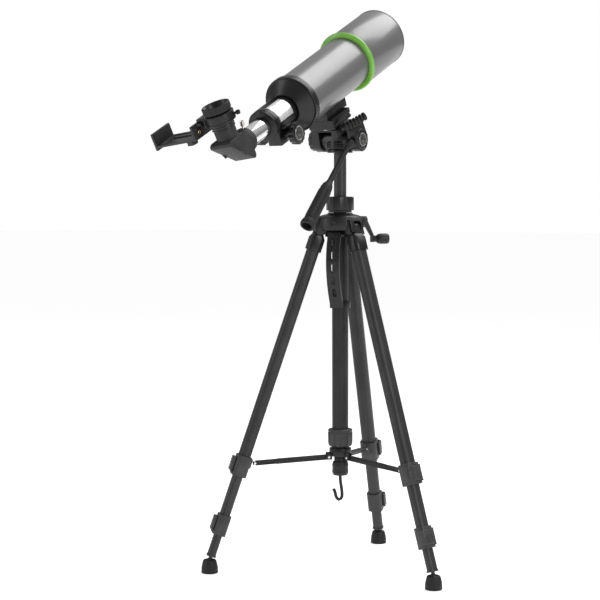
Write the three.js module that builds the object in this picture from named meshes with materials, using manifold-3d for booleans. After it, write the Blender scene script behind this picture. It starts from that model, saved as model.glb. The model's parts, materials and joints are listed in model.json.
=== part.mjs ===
// A short 80 mm refractor telescope on a three-way pan head and a folding aluminium tripod.
// Millimetres, +Z up, the tube heading along +Y. The origin is the middle of the bounding box's floor face.
import * as THREE from "three";
import { mergeVertices } from "three/addons/utils/BufferGeometryUtils.js";
import Module from "manifold-3d";

const wasm = await Module();
wasm.setup();

// Driving dimensions
const gap = 0.3; // clearance left between pieces that touch
const flutePoints = 4; // outline points for each flute of a knob
const degree = Math.PI / 180;

const legHeadings = { a: -136.5, b: -16.5, c: 103.5 };
const legSpread = 18.9;
const legPivotRadius = 33;
const legPivotHeight = 572;
const legSections = {
  upper: { depth: 20.4, width: 23.6, wall: 1.3, from: 22, to: 399, corner: 8 },
  mid: { depth: 17.2, width: 20.4, wall: 1.2, from: 110, to: 502, corner: 7 },
  low: { depth: 14.2, width: 17.4, wall: 1.2, from: 200, to: 572, corner: 6 },
};
const clampHeight = 35;
const clampWall = 3.2;
const leverHeight = 24;

const centreTube = { radius: 13.6, wall: 1.4, bottom: 190, top: 585 };
const column = { radius: 10.2, wall: 1.6, bottom: 300, top: 695 };
const shoulder = { radius: 25, bottom: 556, top: 596, armReach: 44, armHalfWidth: 12.4 };
const hub = { inner: 14, outer: 18.4, bottom: 183.5, top: 203, pivotRadius: 19.5, pivotHeight: 188 };
const hubKnob = { radius: 20.7, bottom: 205.5, top: 235 };
const strut = { length: 128.7, stopsShort: 40, height: 9, thickness: 3.4, drop: 3.1 };
const collar = { radius: 23, bottom: 600, top: 622 };
const crankHeading = 43.6;
const crankHeight = 581;
const handleHeading = -76.5;
const hookHeading = 31.6;

const tiltHeight = 717;
const altitude = 25;
const cheek = { inside: 28, outside: 42, radius: 20, top: 24, topHalf: 16 };
const handleAngle = 21;
const sideAxis = { x: -26, z: 34 };
const platform = { halfWidth: 24, back: -45, front: 13, bottom: 36, top: 52 };

const axisInTilt = new THREE.Vector3(3, 51.4, 109.9); // the optical axis's reference point, from the tilt pivot
const tube = { radius: 43.7, wall: 1.8, back: -162, front: 62 };
const dewShield = { radius: 49.3, wall: 1.6, back: 23.6, front: 132.5 };
const rearCell = { radius: 46.7, back: -170, front: -158, neck: 26, neckBack: -188 };
const focuser = { radius: 22.5, bore: 16.2, back: -246, ringRadius: 25, ringBack: -258 };
const drawtube = { radius: 15.5, wall: 1.8, back: -304, front: -190 };
const pinion = { along: -220, below: -27 };
const focusKnob = { radius: 18, inside: 28, outside: 38, flutes: 14 };

const diagonalTilt = 7.5;
const eyepieceAlong = -346;
const prismHalfWidth = 19;
const barrel = { radius: 17, step: 17.8, cup: 21.3 };
const cradle = { right: -34.6, wall: 3.8, left: -112, back: -376, front: -329, floor: 33, top: 56 };

// Shared materials
const finish = (color, roughness, metalness) =>
  new THREE.MeshStandardMaterial({ color, roughness, metalness });
const finishes = {
  greyPaint: () => finish(0x85868a, 0.3, 0.6),
  greenRing: () => finish(0x62a836, 0.35, 0),
  blackPlastic: () => finish(0x1d1d1f, 0.45, 0),
  charcoalPlastic: () => finish(0x38383b, 0.55, 0),
  darkAluminium: () => finish(0x47474b, 0.4, 0.7),
  chrome: () => finish(0xd9dadd, 0.1, 1),
  rubber: () => finish(0x202022, 0.8, 0),
  glass: () => finish(0x5b7f78, 0.05, 0),
};

// Solids, and how they are joined and cut
function toSolid(geometry) {
  const plain = geometry.clone();
  plain.deleteAttribute("normal");
  plain.deleteAttribute("uv");
  const merged = mergeVertices(plain, 1e-4);
  return new wasm.Manifold(
    new wasm.Mesh({
      numProp: 3,
      vertProperties: new Float32Array(merged.attributes.position.array),
      triVerts: new Uint32Array(merged.index.array),
    })
  );
}

function toGeometry(solid) {
  const { vertProperties, triVerts } = solid.getMesh();
  const geometry = new THREE.BufferGeometry();
  geometry.setAttribute("position", new THREE.BufferAttribute(vertProperties, 3));
  geometry.setIndex(new THREE.BufferAttribute(triVerts, 1));
  return geometry;
}

function combine(first, others, operation) {
  let solid = toSolid(first);
  for (const other of others) solid = solid[operation](toSolid(other));
  return toGeometry(solid);
}
const join = (first, ...others) => combine(first, others, "add");
const cut = (first, ...others) => combine(first, others, "subtract");

// A turned solid about Y, from [radius, along] points that go up the outside and down the inside
function turned(points, segments = 32) {
  return new THREE.LatheGeometry(points.map(([r, y]) => new THREE.Vector2(r, y)), segments);
}
const ringProfile = (inner, outer, from, to) => [
  [inner, from], [outer, from], [outer, to], [inner, to], [inner, from],
];
const turnedRing = (inner, outer, from, to, segments) => turned(ringProfile(inner, outer, from, to), segments);
const rod = (radius, from, to, segments = 20) =>
  turned([[0, from], [radius, from], [radius, to], [0, to]], segments);
const standing = (geometry) => geometry.rotateX(Math.PI / 2); // turns a Y axis to Z
const lyingAlongX = (geometry) => geometry.rotateZ(-Math.PI / 2); // turns a Y axis to X

function block(x0, x1, y0, y1, z0, z1) {
  const geometry = new THREE.BoxGeometry(x1 - x0, y1 - y0, z1 - z0);
  return geometry.translate((x0 + x1) / 2, (y0 + y1) / 2, (z0 + z1) / 2);
}

function roundedOutline(outline, width, height, radius) {
  const x = width / 2 - radius;
  const y = height / 2 - radius;
  const corners = [[x, y], [-x, y], [-x, -y], [x, -y]];
  corners.forEach(([cx, cy], i) => outline.absarc(cx, cy, radius, (i * Math.PI) / 2, ((i + 1) * Math.PI) / 2));
  outline.closePath();
  return outline;
}
const roundedRect = (width, height, radius) => roundedOutline(new THREE.Shape(), width, height, radius);

function extruded(shape, from, to, curveSegments = 2) {
  const geometry = new THREE.ExtrudeGeometry(shape, { depth: to - from, bevelEnabled: false, curveSegments });
  return geometry.translate(0, 0, from);
}

// A closed polygon drawn in the Y-Z plane and extruded along X
const slabAlongX = (points, from, to) =>
  extruded(new THREE.Shape(points.map(([y, z]) => new THREE.Vector2(y, z))), from, to)
    .rotateX(Math.PI / 2)
    .rotateZ(Math.PI / 2);

// A closed polygon drawn in the X-Z plane and extruded evenly to both sides of it
const slabAlongY = (points, thickness) =>
  extruded(new THREE.Shape(points.map(([x, z]) => new THREE.Vector2(x, z))), -thickness / 2, thickness / 2)
    .rotateX(Math.PI / 2);

function fluted(radius, depth, flutes, from, to) {
  const shape = new THREE.Shape();
  const steps = flutes * flutePoints;
  for (let i = 0; i < steps; i++) {
    const angle = (i / steps) * 2 * Math.PI;
    const r = radius - depth * (0.5 - 0.5 * Math.cos(flutes * angle));
    const point = [r * Math.cos(angle), r * Math.sin(angle)];
    if (i === 0) shape.moveTo(...point);
    else shape.lineTo(...point);
  }
  return extruded(shape, from, to);
}

// The scene graph
const part = new THREE.Group();

function group(parent, { position = [0, 0, 0], rotation = [0, 0, 0] } = {}) {
  const child = new THREE.Group();
  child.position.set(...position);
  child.rotation.set(...rotation.map((angle) => angle * degree));
  parent.add(child);
  return child;
}

function add(parent, name, geometry, material) {
  const mesh = new THREE.Mesh(geometry, material());
  mesh.name = name;
  parent.add(mesh);
  return mesh;
}

// Tripod: one leg, folding about the Y axis of its own frame, with +X outward and the leg along -Z
function sectionTube({ depth, width, wall, from, to, corner }) {
  const shape = roundedRect(depth, width, corner);
  shape.holes.push(roundedOutline(new THREE.Path(), depth - 2 * wall, width - 2 * wall, corner - wall));
  return extruded(shape, -to, -from);
}

function clampSleeve(inner, depth, width, from) {
  const shape = roundedRect(depth, width, 7);
  const hole = [inner.depth + 2 * gap, inner.width + 2 * gap, inner.corner];
  shape.holes.push(roundedOutline(new THREE.Path(), ...hole));
  return extruded(shape, -from - clampHeight, -from);
}

// The flip lever wraps the outer corner of its clamp and swings on a pin along the leg
function flipLever(depth, width, from) {
  const x = depth / 2 + gap;
  const y = width / 2 + gap;
  const outline = [
    [x, y - 5], [x, -y], [2, -y], [2, -y - 3.6], [x, -y - 3.6], [x + 3, -y - 2], [x + 4, -y + 2], [x + 4, y - 5],
  ];
  const shape = new THREE.Shape(outline.reverse().map(([px, py]) => new THREE.Vector2(px, py)));
  const low = -from - clampHeight + 5;
  return extruded(shape, low, low + leverHeight);
}

function buildLeg(id, heading) {
  const spoke = group(part, { rotation: [0, 0, heading] });
  const leg = group(spoke, {
    position: [legPivotRadius, 0, legPivotHeight],
    rotation: [0, -legSpread, 0],
  });
  const { upper, mid, low } = legSections;

  const socket = roundedRect(upper.depth + 5, upper.width + 4.6, 8);
  socket.holes.push(roundedOutline(new THREE.Path(), upper.depth + 2 * gap, upper.width + 2 * gap, upper.corner));
  const knuckle = new THREE.CylinderGeometry(9, 9, 14, 20);
  const neck = block(-8, 9, -7, 7, -21.6, 0);
  const crown = extruded(roundedRect(upper.depth + 5, upper.width + 4.6, 8), -upper.from + gap, -upper.from + 2.3);
  const sleeve = extruded(socket, -41, -upper.from + gap);
  add(leg, `leg_${id}_top`, join(sleeve, crown, neck, knuckle), finishes.blackPlastic);
  add(leg, `leg_${id}_upper_tube`, sectionTube(upper), finishes.darkAluminium);

  const firstClamp = upper.to + gap;
  const firstDepth = upper.depth + 2 * clampWall - 1;
  const firstWidth = upper.width + 2 * clampWall - 1;
  const lug = block(-firstDepth / 2 - 2.6, -firstDepth / 2 + 1, -4.6, 4.6, -firstClamp - 18, -firstClamp - 2);
  const firstBody = join(clampSleeve(mid, firstDepth, firstWidth, firstClamp), lug);
  add(leg, `leg_${id}_clamp_1`, firstBody, finishes.charcoalPlastic);
  add(leg, `leg_${id}_lever_1`, flipLever(firstDepth, firstWidth, firstClamp), finishes.blackPlastic);

  add(leg, `leg_${id}_mid_tube`, sectionTube(mid), finishes.darkAluminium);
  const secondClamp = mid.to + gap;
  const secondDepth = mid.depth + 2 * clampWall - 1;
  const secondWidth = mid.width + 2 * clampWall - 1;
  add(leg, `leg_${id}_clamp_2`, clampSleeve(low, secondDepth, secondWidth, secondClamp), finishes.charcoalPlastic);
  add(leg, `leg_${id}_lever_2`, flipLever(secondDepth, secondWidth, secondClamp), finishes.blackPlastic);

  // The end plug closes the lowest tube and carries the ball that the foot turns on
  const plug = extruded(roundedRect(low.depth + 1.6, low.width + 1.6, 6), -low.to - 3, -low.to);
  const stem = standing(rod(3.2, -low.to - 8, -low.to - 1, 12));
  const ball = new THREE.SphereGeometry(4.6, 12, 8).translate(0, 0, -low.to - 9.5);
  add(leg, `leg_${id}_low_tube`, join(sectionTube(low), plug, stem, ball), finishes.darkAluminium);

  const ballRadius = legPivotRadius + (low.to + 9.5) * Math.sin(legSpread * degree);
  const ballHeight = legPivotHeight - (low.to + 9.5) * Math.cos(legSpread * degree);
  const footTop = ballHeight + 1.5;
  const footProfile = [
    [0, 0], [12.6, 0], [14, 1.4], [13.6, 7], [11.8, 14.5], [8.6, footTop], [7.2, footTop],
    [5.4, ballHeight - 2], [0, ballHeight - 5.4],
  ];
  const foot = standing(turned(footProfile, 20));
  const footGroup = group(spoke, { position: [ballRadius, 0, 0] });
  add(footGroup, `leg_${id}_foot`, foot, finishes.rubber);

  // The strut swings up from the hub ring; its outer end keeps clear of the leg
  const strutGroup = group(spoke, {
    position: [hub.pivotRadius, 0, hub.pivotHeight],
    rotation: [0, strut.drop, 0],
  });
  const reach = strut.length - strut.stopsShort;
  const bar = new THREE.Shape();
  bar.absarc(0, 0, strut.height / 2, Math.PI / 2, (3 * Math.PI) / 2);
  bar.absarc(reach, 0, strut.height / 2, -Math.PI / 2, Math.PI / 2);
  bar.closePath();
  const arm = extruded(bar, -strut.thickness / 2, strut.thickness / 2, 6).rotateX(Math.PI / 2);
  add(strutGroup, `strut_${id}`, arm, finishes.darkAluminium);
}

// Tripod: shoulder casting with a fork for each leg, the elevator boss and the front boss
function buildShoulder() {
  const { radius, bottom, top, armReach, armHalfWidth } = shoulder;
  let body = standing(turned([
    [centreTube.radius + gap, bottom], [radius, bottom], [radius, top - 6], [radius - 5, top],
    [column.radius + gap, top],
    [column.radius + gap, centreTube.top + gap], [centreTube.radius + gap, centreTube.top + gap],
    [centreTube.radius + gap, bottom],
  ], 24));
  const slotHalf = 7 + gap;
  for (const heading of Object.values(legHeadings)) {
    const turn = heading * degree;
    const arm = slabAlongY([
      [16, 560], [armReach - 4, 560], [armReach, 565], [armReach, 577], [armReach - 6, 588], [22, 592], [16, 592],
    ], 2 * armHalfWidth).rotateZ(turn);
    body = join(body, arm);
    const slot = block(21.5, armReach + 2, -slotHalf, slotHalf, bottom - 6, legPivotHeight + 10.5).rotateZ(turn);
    body = cut(body, slot);
  }
  const boss = lyingAlongX(rod(9, 18, 34.8, 20)).translate(0, 0, crankHeight).rotateZ(crankHeading * degree);
  const front = lyingAlongX(rod(6.5, 18, 29, 18)).translate(0, 0, 579).rotateZ(handleHeading * degree);
  const bore = lyingAlongX(rod(2.2, 24, 32, 12)).translate(0, 0, 579).rotateZ(handleHeading * degree);
  add(part, "shoulder", cut(join(body, boss, front), bore), finishes.blackPlastic);
}

function buildCarryHandle() {
  const frame = group(part, { rotation: [0, 0, handleHeading] });
  const side = (points) => new THREE.QuadraticBezierCurve(...points.map(([x, z]) => new THREE.Vector2(x, z)));
  const outer = side([[29.6, 566], [58, 505], [18, 439]]).getPoints(10);
  const inner = side([[14.6, 447], [52, 505], [25.6, 566]]).getPoints(10);
  const strap = extruded(new THREE.Shape([...outer, ...inner]), -11, 11).rotateX(Math.PI / 2);
  const clearance = standing(rod(centreTube.radius + gap, 400, 560, 24));
  const band = standing(turnedRing(centreTube.radius + gap, 17.4, 437.5, 449, 24));
  let body = join(cut(strap, clearance), band);
  const slots = { count: 5, top: 547, pitch: 20.8 };
  for (let i = 0; i < slots.count; i++) {
    const slot = extruded(roundedRect(14, 6.4, 3.1), 20, 60).rotateY(Math.PI / 2);
    body = cut(body, slot.translate(0, 0, slots.top - i * slots.pitch));
  }
  add(frame, "carry_handle", body, finishes.blackPlastic);
}

function buildCentre() {
  const { radius, wall, bottom, top } = centreTube;
  add(part, "centre_tube", standing(turnedRing(radius - wall, radius, bottom, top, 28)), finishes.darkAluminium);
  add(part, "column", standing(turnedRing(column.radius - column.wall, column.radius, column.bottom, column.top, 24)),
    finishes.darkAluminium);

  // End cap with the hook hanging from its middle
  const cap = standing(turned([
    [0, 157], [11.6, 157], [13.4, 160], [13.4, 176], [12.4, 180], [10.2, 181], [10.2, bottom - gap], [0, bottom - gap],
  ], 24));
  const hookRoute = new THREE.CatmullRomCurve3([
    [0, 158], [0, 150], [1.2, 140], [2.8, 128], [2.4, 119], [-2.2, 115], [-6.6, 119], [-8.8, 128], [-11.4, 133.5],
  ].map(([x, z]) => new THREE.Vector3(x, 0, z)));
  const hook = new THREE.ExtrudeGeometry(roundedRect(5.4, 5.4, 2.6), {
    extrudePath: hookRoute, steps: 16, curveSegments: 1,
  });
  add(part, "end_cap_hook", join(cap, hook.rotateZ(hookHeading * degree)), finishes.blackPlastic);

  const lock = standing(turnedRing(column.radius + gap, 19.5, collar.bottom - 3.6, collar.bottom + 1, 24));
  const grip = cut(
    fluted(collar.radius, 1.6, 12, collar.bottom, collar.top),
    standing(rod(column.radius + gap, collar.bottom - 1, collar.top + 1, 24))
  );
  add(part, "collar_lock", join(lock, grip), finishes.blackPlastic);
}

function buildHub() {
  let ring = standing(turnedRing(hub.inner, hub.outer, hub.bottom + 6, hub.top, 24));
  for (const heading of Object.values(legHeadings)) {
    for (const side of [-1, 1]) {
      const y = side * 3.4;
      const ear = block(14.4, 24.5, Math.min(y, y - side * 1.6), Math.max(y, y - side * 1.6), hub.bottom, 196)
        .translate(0, side * 0.2, 0);
      ring = join(ring, cut(ear, standing(rod(hub.inner, 170, 220, 24))).rotateZ(heading * degree));
    }
    const slot = block(13, 26, -2, 2, hub.bottom - 1, hub.pivotHeight + 6.2).rotateZ(heading * degree);
    ring = cut(ring, slot);
  }
  add(part, "hub_ring", ring, finishes.blackPlastic);
  const knob = cut(
    fluted(hubKnob.radius, 1.6, 12, hubKnob.bottom, hubKnob.top),
    standing(rod(hub.inner, hubKnob.bottom - 1, hubKnob.top + 1, 24))
  );
  add(part, "hub_lock_knob", knob, finishes.charcoalPlastic);
}

function buildCrank() {
  const frame = group(part, { position: [0, 0, crankHeight], rotation: [0, 0, crankHeading] });
  const hubKnurl = fluted(9.4, 1.2, 8, 35.2, 45).rotateY(Math.PI / 2);
  const arm = slabAlongY([
    [39, 4], [45, 4], [56.5, -22], [56.5, -34], [52, -34], [52, -24], [39, -3],
  ], 10);
  const pin = lyingAlongX(rod(2.6, 54, 80, 12)).translate(0, 0, -28.5);
  add(frame, "crank", join(hubKnurl, arm, pin), finishes.blackPlastic);
  const grip = lyingAlongX(turned([
    [3, 57], [5.4, 57], [5.4, 61], [7.4, 64], [8.6, 67], [8.6, 80], [7.4, 83], [0, 83], [0, 80.6], [3, 80.6], [3, 57],
  ], 18)).translate(0, 0, -28.5);
  add(frame, "crank_grip", grip, finishes.blackPlastic);
}

// Pan head
function buildHead() {
  const base = standing(turned([
    [0, column.top + gap], [21, column.top + gap], [21, 699.6], [18.6, 699.6], [21.4, 701], [21.4, 714], [0, 714],
  ], 24));
  const barrelPin = lyingAlongX(rod(16.5, -cheek.inside + gap, cheek.inside - gap, 24)).translate(0, 0, tiltHeight);
  add(part, "pan_base", join(base, barrelPin), finishes.blackPlastic);

  const tilt = group(part, { position: [0, 0, tiltHeight], rotation: [altitude, 0, 0] });
  const outline = [];
  for (let i = 0; i <= 12; i++) {
    const angle = Math.PI + (i / 12) * Math.PI;
    outline.push([cheek.radius * Math.cos(angle), cheek.radius * Math.sin(angle)]);
  }
  outline.push([cheek.topHalf, cheek.top], [-cheek.topHalf, cheek.top]);
  const right = slabAlongX(outline, cheek.inside, cheek.outside);
  const left = slabAlongX(outline, -cheek.outside, -cheek.inside);
  const bridge = block(-cheek.inside - 1, cheek.inside + 1, -cheek.topHalf, cheek.topHalf, 20.2, 30);
  const knuckle = rod(6, -16, -gap, 18).translate(sideAxis.x, 0, sideAxis.z);
  const web = block(sideAxis.x - 5, sideAxis.x + 6, -16, -gap, 26, sideAxis.z);
  const ear = block(14, 25, -42, -14, 20.2, 33.4);
  const plateKnuckleRoom = block(-34, -18.5, -0.01, 17, 27, 32);
  add(tilt, "tilt_body", join(cut(join(right, left, bridge), plateKnuckleRoom), knuckle, web, ear),
    finishes.blackPlastic);

  const knob = fluted(18, 1.4, 12, -52, -cheek.outside - gap).rotateY(Math.PI / 2);
  add(tilt, "tilt_knob", knob, finishes.blackPlastic);

  const handle = group(tilt, { position: [35, -22.6, 6.9], rotation: [handleAngle, 0, 0] });
  const handleProfile = [
    [0, -197], [7.2, -197], [10.6, -197], [10.8, -190], [8.8, -184], [8.4, -112], [7.6, -104], [4.9, -99], [4.4, -14],
    [6.6, -12], [6.6, -0.4], [0, -0.4],
  ];
  const hollow = rod(7, -199, -185, 16);
  add(handle, "pan_handle", cut(turned(handleProfile, 16), hollow), finishes.rubber);

  const gripStart = new THREE.Vector3(25.6, -37.1, 30.6);
  const gripHeading = new THREE.Vector3(30, 40.8, 8.4).normalize();
  const sideGrip = group(tilt);
  sideGrip.position.copy(gripStart);
  sideGrip.quaternion.setFromUnitVectors(new THREE.Vector3(0, 1, 0), gripHeading);
  const gripProfile = [[0, 4.8], [3.6, 4.8], [3.6, 11], [5, 12], [5, 47], [6.2, 48], [6.2, 51], [4, 53], [0, 53]];
  add(sideGrip, "side_tilt_grip", turned(gripProfile, 16), finishes.rubber);

  const { halfWidth, back, front, bottom, top } = platform;
  let plate = block(-halfWidth, halfWidth, back, front, bottom, top);
  for (const x of [-halfWidth, halfWidth]) {
    plate = cut(plate, block(x - 1.6, x + 1.6, back - 1, front + 1, 41, 44));
  }
  plate = cut(plate, block(-34, -18.5, -16.6, gap, 30, sideAxis.z + 6.6));
  const plateKnuckle = rod(6, gap, 13, 18).translate(sideAxis.x, 0, sideAxis.z);
  add(tilt, "platform", join(plate, plateKnuckle), finishes.blackPlastic);
  return tilt;
}

// Optical tube, with its axis along Y
function buildTube(tilt) {
  const ota = group(tilt);
  ota.position.copy(axisInTilt);
  const { radius, wall } = tube;

  const saddle = cut(
    block(-13, 13, -98, -31, platform.top + gap - axisInTilt.z, -36),
    rod(radius + gap, -120, 20, 48)
  );
  add(ota, "mount_shoe", saddle, finishes.blackPlastic);

  add(ota, "main_tube", turned([
    [radius - wall, tube.back], [radius, tube.back], [radius, tube.front], [37, tube.front], [37, 50],
    [radius - wall, 48], [radius - wall, tube.back],
  ], 40), finishes.greyPaint);
  add(ota, "dew_shield", turned([
    [dewShield.radius - dewShield.wall, dewShield.back], [dewShield.radius, dewShield.back],
    [dewShield.radius, dewShield.front - 1], [dewShield.radius - 1, dewShield.front],
    [dewShield.radius - dewShield.wall, dewShield.front], [dewShield.radius - dewShield.wall, dewShield.back],
  ], 40), finishes.greyPaint);
  const ringOuter = [];
  for (let i = 0; i <= 5; i++) {
    const angle = -Math.PI / 2 + (i / 5) * Math.PI;
    ringOuter.push([48 + 3.8 * Math.cos(angle), 18.6 + 4.6 * Math.sin(angle)]);
  }
  add(ota, "accent_ring", turned([
    [radius + gap, 14], ...ringOuter, [radius + gap, 23.2], [radius + gap, 14],
  ], 40), finishes.greenRing);
  const lensRadius = 36.6;
  add(ota, "objective_lens", turned([
    [0, 51.4], [lensRadius, 53.4], [lensRadius, 57], [20, 59.2], [0, 60],
  ], 28), finishes.glass);

  const cell = rearCell;
  add(ota, "rear_cell", turned([
    [cell.neck - 3, cell.neckBack], [cell.neck, cell.neckBack], [43, cell.back + 1.4], [45.8, cell.back],
    [cell.radius, cell.back + 1.4], [cell.radius, cell.front], [radius + gap, cell.front],
    [radius + gap, tube.back - gap], [41.4, tube.back - gap], [cell.neck - 3, cell.neckBack + 4],
    [cell.neck - 3, cell.neckBack],
  ], 40), finishes.blackPlastic);

  // Focuser housing with its end ring, the key rib along its top and the pinion box below
  const housing = turned([
    [focuser.bore, focuser.ringBack], [focuser.ringRadius - 2, focuser.ringBack],
    [focuser.ringRadius, focuser.ringBack + 2], [focuser.ringRadius, focuser.back + 1],
    [focuser.radius, focuser.back + 3], [focuser.radius, cell.neckBack + 6], [focuser.bore, cell.neckBack + 6],
    [focuser.bore, focuser.ringBack],
  ], 32);
  const rib = block(-9, -1, focuser.back, cell.neckBack - 1, 18, 25).rotateY(-20 * degree);
  const box = block(-12, 12, -236, -204, -41, -19);
  const passage = rod(focuser.bore, -280, -160, 32);
  const pinionHole = lyingAlongX(rod(4.4, -20, 20, 16)).translate(0, pinion.along, pinion.below);
  add(ota, "focuser_housing", cut(join(housing, rib, box), passage, pinionHole), finishes.blackPlastic);

  const rearWall = [[drawtube.radius - drawtube.wall, drawtube.back], [drawtube.radius, drawtube.back]];
  add(ota, "drawtube", turned([
    ...rearWall, [drawtube.radius, drawtube.front], [drawtube.radius - drawtube.wall, drawtube.front], rearWall[0],
  ], 32), finishes.chrome);

  const shaft = rod(4, -focusKnob.inside - 1, focusKnob.inside + 1, 16);
  const collarRadius = 10;
  const knobs = [-1, 1].map((side) => {
    const [near, far] = [side * focusKnob.inside, side * focusKnob.outside].sort((p, q) => p - q);
    const wheel = fluted(focusKnob.radius, 1.4, focusKnob.flutes, near, far).rotateX(-Math.PI / 2);
    const [inner, outer] = [side * 16.5, side * (focusKnob.inside + 0.5)].sort((p, q) => p - q);
    return join(wheel, rod(collarRadius, inner, outer, 20));
  });
  const knobSet = join(shaft, ...knobs);
  add(ota, "focus_knobs", lyingAlongX(knobSet).translate(0, pinion.along, pinion.below), finishes.blackPlastic);
  return ota;
}

// Star diagonal, eyepiece and phone adapter, with the eyepiece axis along Z
function buildEyepieceEnd(ota) {
  const diagonal = group(ota, { rotation: [0, -diagonalTilt, 0] });
  const side = [
    [-319, -20], [-319, 10.5], [-330.5, 21], [-365.5, 21], [-371, 18], [-371, 13.5], [-325, -25], [-321, -24],
  ];
  const prism = slabAlongX(side.reverse(), -prismHalfWidth, prismHalfWidth);
  const collarProfile = [
    [0, -320], [17, -320], [19.4, -318], [19.4, -305], [drawtube.radius + gap, -305],
    [drawtube.radius + gap, drawtube.back - gap], [0, drawtube.back - gap],
  ];
  const holder = turned(collarProfile, 28);
  const stem = standing(rod(barrel.radius, 20, 36, 28)).translate(0, eyepieceAlong, 0);
  add(diagonal, "diagonal", join(prism, holder, stem), finishes.charcoalPlastic);

  const eyepiece = group(diagonal, { position: [0, eyepieceAlong, 0] });
  const body = standing(turned([
    [0, 36 + gap], [barrel.step, 36 + gap], [barrel.step, 61], [20.6, 62.6], [barrel.cup, 64], [barrel.cup + 0.6, 74],
    [barrel.cup - 1.4, 74.6], [18.4, 66], [13, 63], [0, 62],
  ], 28));
  add(eyepiece, "eyepiece", body, finishes.blackPlastic);

  const adapter = group(eyepiece);
  const clampRing = standing(turnedRing(barrel.step + gap, 22.8, 46.5, 61, 28));
  const arm = block(cradle.right + gap, -19, -14, 12, 46.5, 61);
  const grooves = [12, -14].map((y) => block(cradle.right - 1, -23, y - 2.4, y + 2.4, 50.5, 56));
  const clearBore = standing(rod(barrel.step + gap, 40, 70, 28));
  const armBody = cut(join(clampRing, arm), clearBore, ...grooves);
  add(adapter, "phone_clamp", armBody, finishes.charcoalPlastic);

  const { right, wall, left, floor, top } = cradle;
  const back = cradle.back - eyepieceAlong;
  const front = cradle.front - eyepieceAlong;
  const panel = block(right - wall, right, back, front, floor, top);
  const plate = block(left + gap, right, back, front, floor, floor + 3.4);
  const recess = block(left + 5, right - wall - 5, back + 5, front - 5, floor + 2.2, floor + 4);
  const track = block(left + 12, right - 26, -6, 2, floor - 1, floor + 4);
  const forks = [[-18, -16.2], [14.2, 16]].map(([y0, y1]) => block(right - 1, right + 9, y0, y1, 51.2, 55.4));
  add(adapter, "phone_cradle", join(cut(join(panel, plate), recess, track), ...forks), finishes.charcoalPlastic);

  const jaw = block(left - 4, left, back, front, floor - 4, top);
  const tongue = block(left - 1, right - 26, -14, 10, floor - 4, floor - gap);
  const lockKnob = fluted(9, 1.6, 6, floor - 12, floor - 3.6).translate(-66, -2, 0);
  add(adapter, "phone_jaw", join(jaw, tongue, lockKnob), finishes.charcoalPlastic);
}

for (const [id, heading] of Object.entries(legHeadings)) buildLeg(id, heading);
buildShoulder();
buildCarryHandle();
buildCentre();
buildHub();
buildCrank();
buildEyepieceEnd(buildTube(buildHead()));

// The bounding box's middle goes over the origin
part.updateMatrixWorld(true);
const bounds = new THREE.Box3().setFromObject(part, true);
const middle = bounds.getCenter(new THREE.Vector3());
part.position.set(-middle.x, -middle.y, -bounds.min.z);

export default part;
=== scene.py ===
"""A short refractor telescope on a three-way pan head and a folding tripod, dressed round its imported
frame. Metres, +Z up, the tube heading along +Y. Sizes written beside pieces are millimetres."""

import json
import math

import bmesh
import bpy
from mathutils import Matrix, Vector


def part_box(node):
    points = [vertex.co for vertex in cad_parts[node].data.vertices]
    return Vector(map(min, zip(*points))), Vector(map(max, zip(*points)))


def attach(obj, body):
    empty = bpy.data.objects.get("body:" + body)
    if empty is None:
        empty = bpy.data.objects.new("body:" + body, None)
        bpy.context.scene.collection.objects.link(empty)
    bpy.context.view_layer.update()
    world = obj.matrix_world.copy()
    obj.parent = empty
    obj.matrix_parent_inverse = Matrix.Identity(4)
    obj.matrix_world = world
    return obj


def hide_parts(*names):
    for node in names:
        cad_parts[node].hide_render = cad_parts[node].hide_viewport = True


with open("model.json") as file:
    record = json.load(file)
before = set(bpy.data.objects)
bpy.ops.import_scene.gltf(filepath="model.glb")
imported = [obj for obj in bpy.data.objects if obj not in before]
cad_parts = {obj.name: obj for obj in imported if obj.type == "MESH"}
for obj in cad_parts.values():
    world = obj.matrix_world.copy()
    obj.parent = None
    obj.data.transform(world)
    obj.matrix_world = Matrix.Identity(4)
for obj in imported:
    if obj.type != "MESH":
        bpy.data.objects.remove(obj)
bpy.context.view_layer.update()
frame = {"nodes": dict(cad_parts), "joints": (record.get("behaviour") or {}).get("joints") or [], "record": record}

# Leg tubes: three sections of drawn aluminium that slide inside each other, anodised dark grey. They are
# flattened ovals, brushed lengthwise, and each thinner section is marked where it slides.
MM = 0.001
low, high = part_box("column")
upright = Matrix.Translation(((low.x + high.x) / 2, (low.y + high.y) / 2, 0))
leg_headings = {"a": -136.5, "b": -16.5, "c": 103.5}
legs = ("a", "b", "c")
LEG_SPREAD, LEG_PIVOT_OUT, LEG_PIVOT_UP = 18.9, 33, 572


def turned(degrees, axis):
    return Matrix.Rotation(math.radians(degrees), 4, axis)


def moved(x, y, z):
    return Matrix.Translation(Vector((x, y, z)) * MM)


def spoke(leg):
    return upright @ turned(leg_headings[leg], "Z")


def along_leg(leg):
    """The leg's own frame: +X out of the tripod, +Z up the leg, from its fold pivot."""
    return spoke(leg) @ moved(LEG_PIVOT_OUT, 0, LEG_PIVOT_UP) @ turned(-LEG_SPREAD, "Y")


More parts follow.
